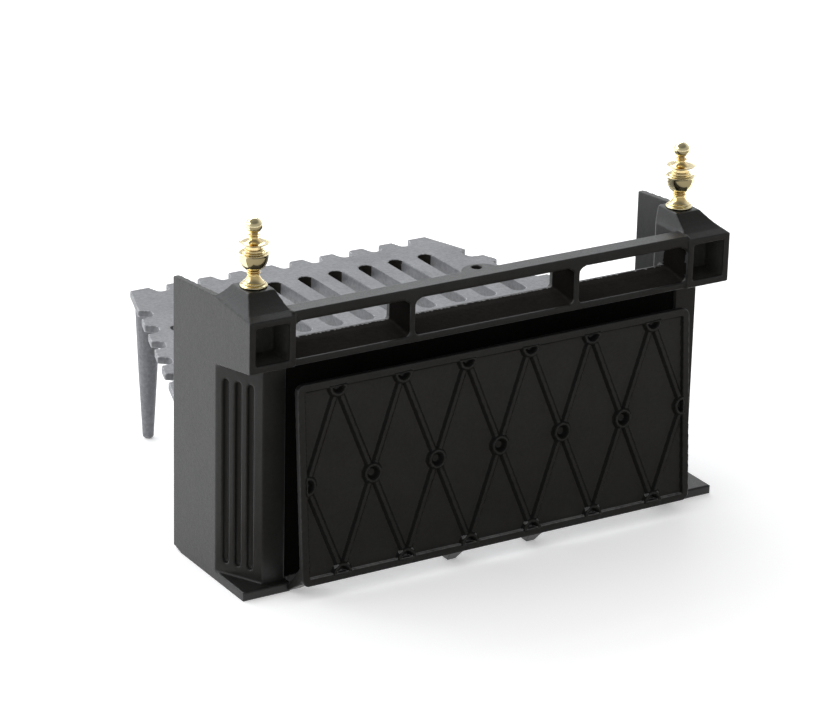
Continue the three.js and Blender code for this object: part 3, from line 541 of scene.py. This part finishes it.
def knob_profile():
    neck_foot = URN_NECK - 0.0009
    waist = BALL_RADIUS * 0.50
    collar = BALL_RISE - BALL_RADIUS - 0.0022
    disc = DISC_RISE
    disc_top = disc + DISC_THICKNESS
    points = [(0, KNOB_BORE), (BORE, KNOB_BORE), (BORE, 0), (neck_foot + 0.0003, 0),
              (neck_foot, disc - 0.0006)]
    points += [(neck_foot + 0.0012, disc), (DISC_RADIUS - 0.0005, disc)]
    points += arc((DISC_RADIUS - DISC_EDGE, disc + DISC_EDGE), DISC_EDGE, -80, 85, 8)
    flare = neck_foot + 0.0008
    points += [(DISC_RADIUS - 0.0009, disc_top - 0.0003), (flare + 0.0006, disc_top - 0.0004)]
    neck_height = collar - 0.0005 - disc - DISC_THICKNESS
    for i in range(NECK_STEPS + 1):
        t = i / NECK_STEPS
        points.append((eased(flare, waist, t, NECK_CURVE), disc_top + t * neck_height))
    points += arc((waist + 0.0012, collar + 0.0003), COLLAR_BEAD, -80, 80, 8)
    points += [(waist, collar + 0.0008), (waist - 0.0001, collar + 0.0014)]
    start = math.asin((waist - 0.0001) / BALL_RADIUS)
    for i in range(BALL_STEPS + 1):
        angle = math.pi - start - (i / BALL_STEPS) * (math.pi - start)
        wide = 1 + (BALL_SQUASH - 1) * math.sin(angle)
        radius = 0 if i == BALL_STEPS else BALL_RADIUS * wide * math.sin(angle)
        points.append((radius, BALL_RISE + BALL_RADIUS * math.cos(angle)))
    return points


for side, sign in (("left", -1), ("right", 1)):
    for part, profile, base in (("foot", foot_profile(), FOOT_Z), ("urn", urn_profile(), URN_Z),
                                ("knob", knob_profile(), KNOB_Z)):
        lathe(f"turned_{part}_{side}", f"finial_{part}_{side}", profile, sign * FINIAL_X, base)
    for part in ("rod", "washer", "nut"):
        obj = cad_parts[f"finial_{part}_{side}"]
        obj.data.materials.clear()
        obj.data.materials.append(STEEL)


# ---------- studio ----------

def quad(name, x0, x1, y0, y1, z):
    mesh = bpy.data.meshes.new(name)
    mesh.from_pydata([(x0, y0, z), (x1, y0, z), (x1, y1, z), (x0, y1, z)], [], [(0, 1, 2, 3)])
    return add_object(name, mesh)


def stage_floor():
    """A pale floor that looks white to the camera and in reflections, and keeps the shadow."""
    floor = quad("floor", -FLOOR_HALF, FLOOR_HALF, -FLOOR_HALF, FLOOR_HALF, 0)
    mat, t, shader, coords = material("pale_floor")
    shade = t.noise(3.0, 2.0, 0.5, coords)
    t.feed(shader.inputs["Base Color"], t.mix(shade, (0.93, 0.93, 0.93, 1), (0.95, 0.95, 0.95, 1)))
    shader.inputs["Roughness"].default_value = 0.8
    shader.inputs["Specular IOR Level"].default_value = 0.2
    path = t.add("ShaderNodeLightPath").outputs
    shader.inputs["Emission Color"].default_value = WHITE
    t.feed(shader.inputs["Emission Strength"],
           t.math("ADD", t.spread(path["Is Camera Ray"], 0, 1, 0.0, FLOOR_SEEN),
                  t.spread(path["Is Glossy Ray"], 0, 1, 0.0, FLOOR_MIRRORED)))
    floor.data.materials.append(mat)


def dark_mat(name, x0, x1, y0, y1):
    """A dark studio mat, seen only in reflections, lying on the floor."""
    mat_object = quad(name, x0, x1, y0, y1, MAT_HEIGHT)
    mat, t, shader, coords = material(name + "_cloth")
    weave = t.noise(40.0, 2.0, 0.5, coords)
    t.feed(shader.inputs["Base Color"],
           t.mix(weave, (0.37, 0.345, 0.305, 1), (0.41, 0.385, 0.345, 1)))
    shader.inputs["Roughness"].default_value = 0.9
    shader.inputs["Specular IOR Level"].default_value = 0.1
    mat_object.data.materials.append(mat)
    mat_object.visible_camera = False
    mat_object.visible_diffuse = False
    mat_object.visible_transmission = False
    mat_object.visible_shadow = False


def area_light(name, place, aim, width, height, watts, colour):
    light = bpy.data.lights.new(name, "AREA")
    light.color = colour
    light.shape = "RECTANGLE"
    light.size = width
    light.size_y = height
    light.energy = watts
    obj = bpy.data.objects.new(name, light)
    obj.location = place
    obj.rotation_euler = (Vector(aim) - Vector(place)).to_track_quat("-Z", "Y").to_euler()
    bpy.context.scene.collection.objects.link(obj)


def studio_world():
    """White to the camera; to all other rays a gradient that is brighter at the back."""
    world = bpy.data.worlds.new("studio")
    world.use_nodes = True
    bpy.context.scene.world = world
    t = Tree(world.node_tree)
    path = t.add("ShaderNodeLightPath").outputs
    coords = t.add("ShaderNodeTexCoord").outputs["Generated"]
    way = t.add("ShaderNodeSeparateXYZ", {"Vector": coords}).outputs
    back_left = t.math("SUBTRACT", t.math("MULTIPLY", way["Y"], 0.85),
                       t.math("MULTIPLY", way["X"], 0.35))
    soft = t.spread(back_left, -0.8, 0.8, 0.42, 0.94)
    mirror = t.math("MULTIPLY", t.spread(way["Y"], -0.5, 0.4, 0.45, 0.90),
                    t.spread(way["Z"], 0.50, 0.80, 1.0, 0.35))
    mirrored = t.math("MAXIMUM", path["Is Glossy Ray"], path["Is Transmission Ray"])
    not_mirrored = t.math("SUBTRACT", 1.0, mirrored)
    shone = t.weighed(mirrored, mirror, not_mirrored, soft)
    seen = t.math("MULTIPLY", t.math("SUBTRACT", 1.0, path["Is Camera Ray"]), shone)
    strength = t.math("ADD", seen, path["Is Camera Ray"])
    background = t.add("ShaderNodeBackground", {"Color": WHITE, "Strength": strength})
    out = t.add("ShaderNodeOutputWorld")
    t.feed(out.inputs["Surface"], background.outputs[0])


def photo_camera():
    right = Vector((math.cos(CAMERA_YAW), -math.sin(CAMERA_YAW), 0))
    forward = Vector((math.sin(CAMERA_YAW) * math.cos(CAMERA_PITCH),
                      math.cos(CAMERA_YAW) * math.cos(CAMERA_PITCH), -math.sin(CAMERA_PITCH)))
    up = right.cross(forward)
    turned_right = math.cos(CAMERA_ROLL) * right + math.sin(CAMERA_ROLL) * up
    turned_up = -math.sin(CAMERA_ROLL) * right + math.cos(CAMERA_ROLL) * up
    data = bpy.data.cameras.new("camera")
    data.sensor_fit = "HORIZONTAL"
    data.sensor_width = SENSOR
    data.lens = CAMERA_FOCAL_PIXELS / IMAGE_WIDTH * SENSOR
    data.clip_end = CAMERA_REACH
    camera = bpy.data.objects.new("camera", data)
    turn = Matrix((turned_right, turned_up, -forward)).transposed().to_4x4()
    camera.matrix_world = Matrix.Translation(CAMERA_TARGET - forward * CAMERA_DISTANCE) @ turn
    bpy.context.scene.collection.objects.link(camera)
    bpy.context.scene.camera = camera


stage_floor()
studio_world()
photo_camera()
area_light("back_softbox", place=(0, 2.55, 2.35), aim=(0, 0, 0.25), width=4.8, height=1.5,
           watts=70, colour=(0.94, 0.965, 1.0))
area_light("back_left_softbox", place=(-2.1, 2.2, 0.95), aim=(0, 0, 0.2), width=1.5, height=1.0,
           watts=14, colour=(0.92, 0.95, 1.0))
area_light("left_softbox", place=(-2.6, 0.6, 1.7), aim=(0, 0, 0.15), width=1.6, height=1.6,
           watts=16, colour=(1.0, 1.0, 1.0))
dark_mat("front_mat", x0=-1.6, x1=1.6, y0=-1.7, y1=-0.20)
dark_mat("left_mat", x0=-1.6, x1=-0.24, y0=-0.20, y1=-0.10)
bpy.context.scene.view_settings.view_transform = "Standard"
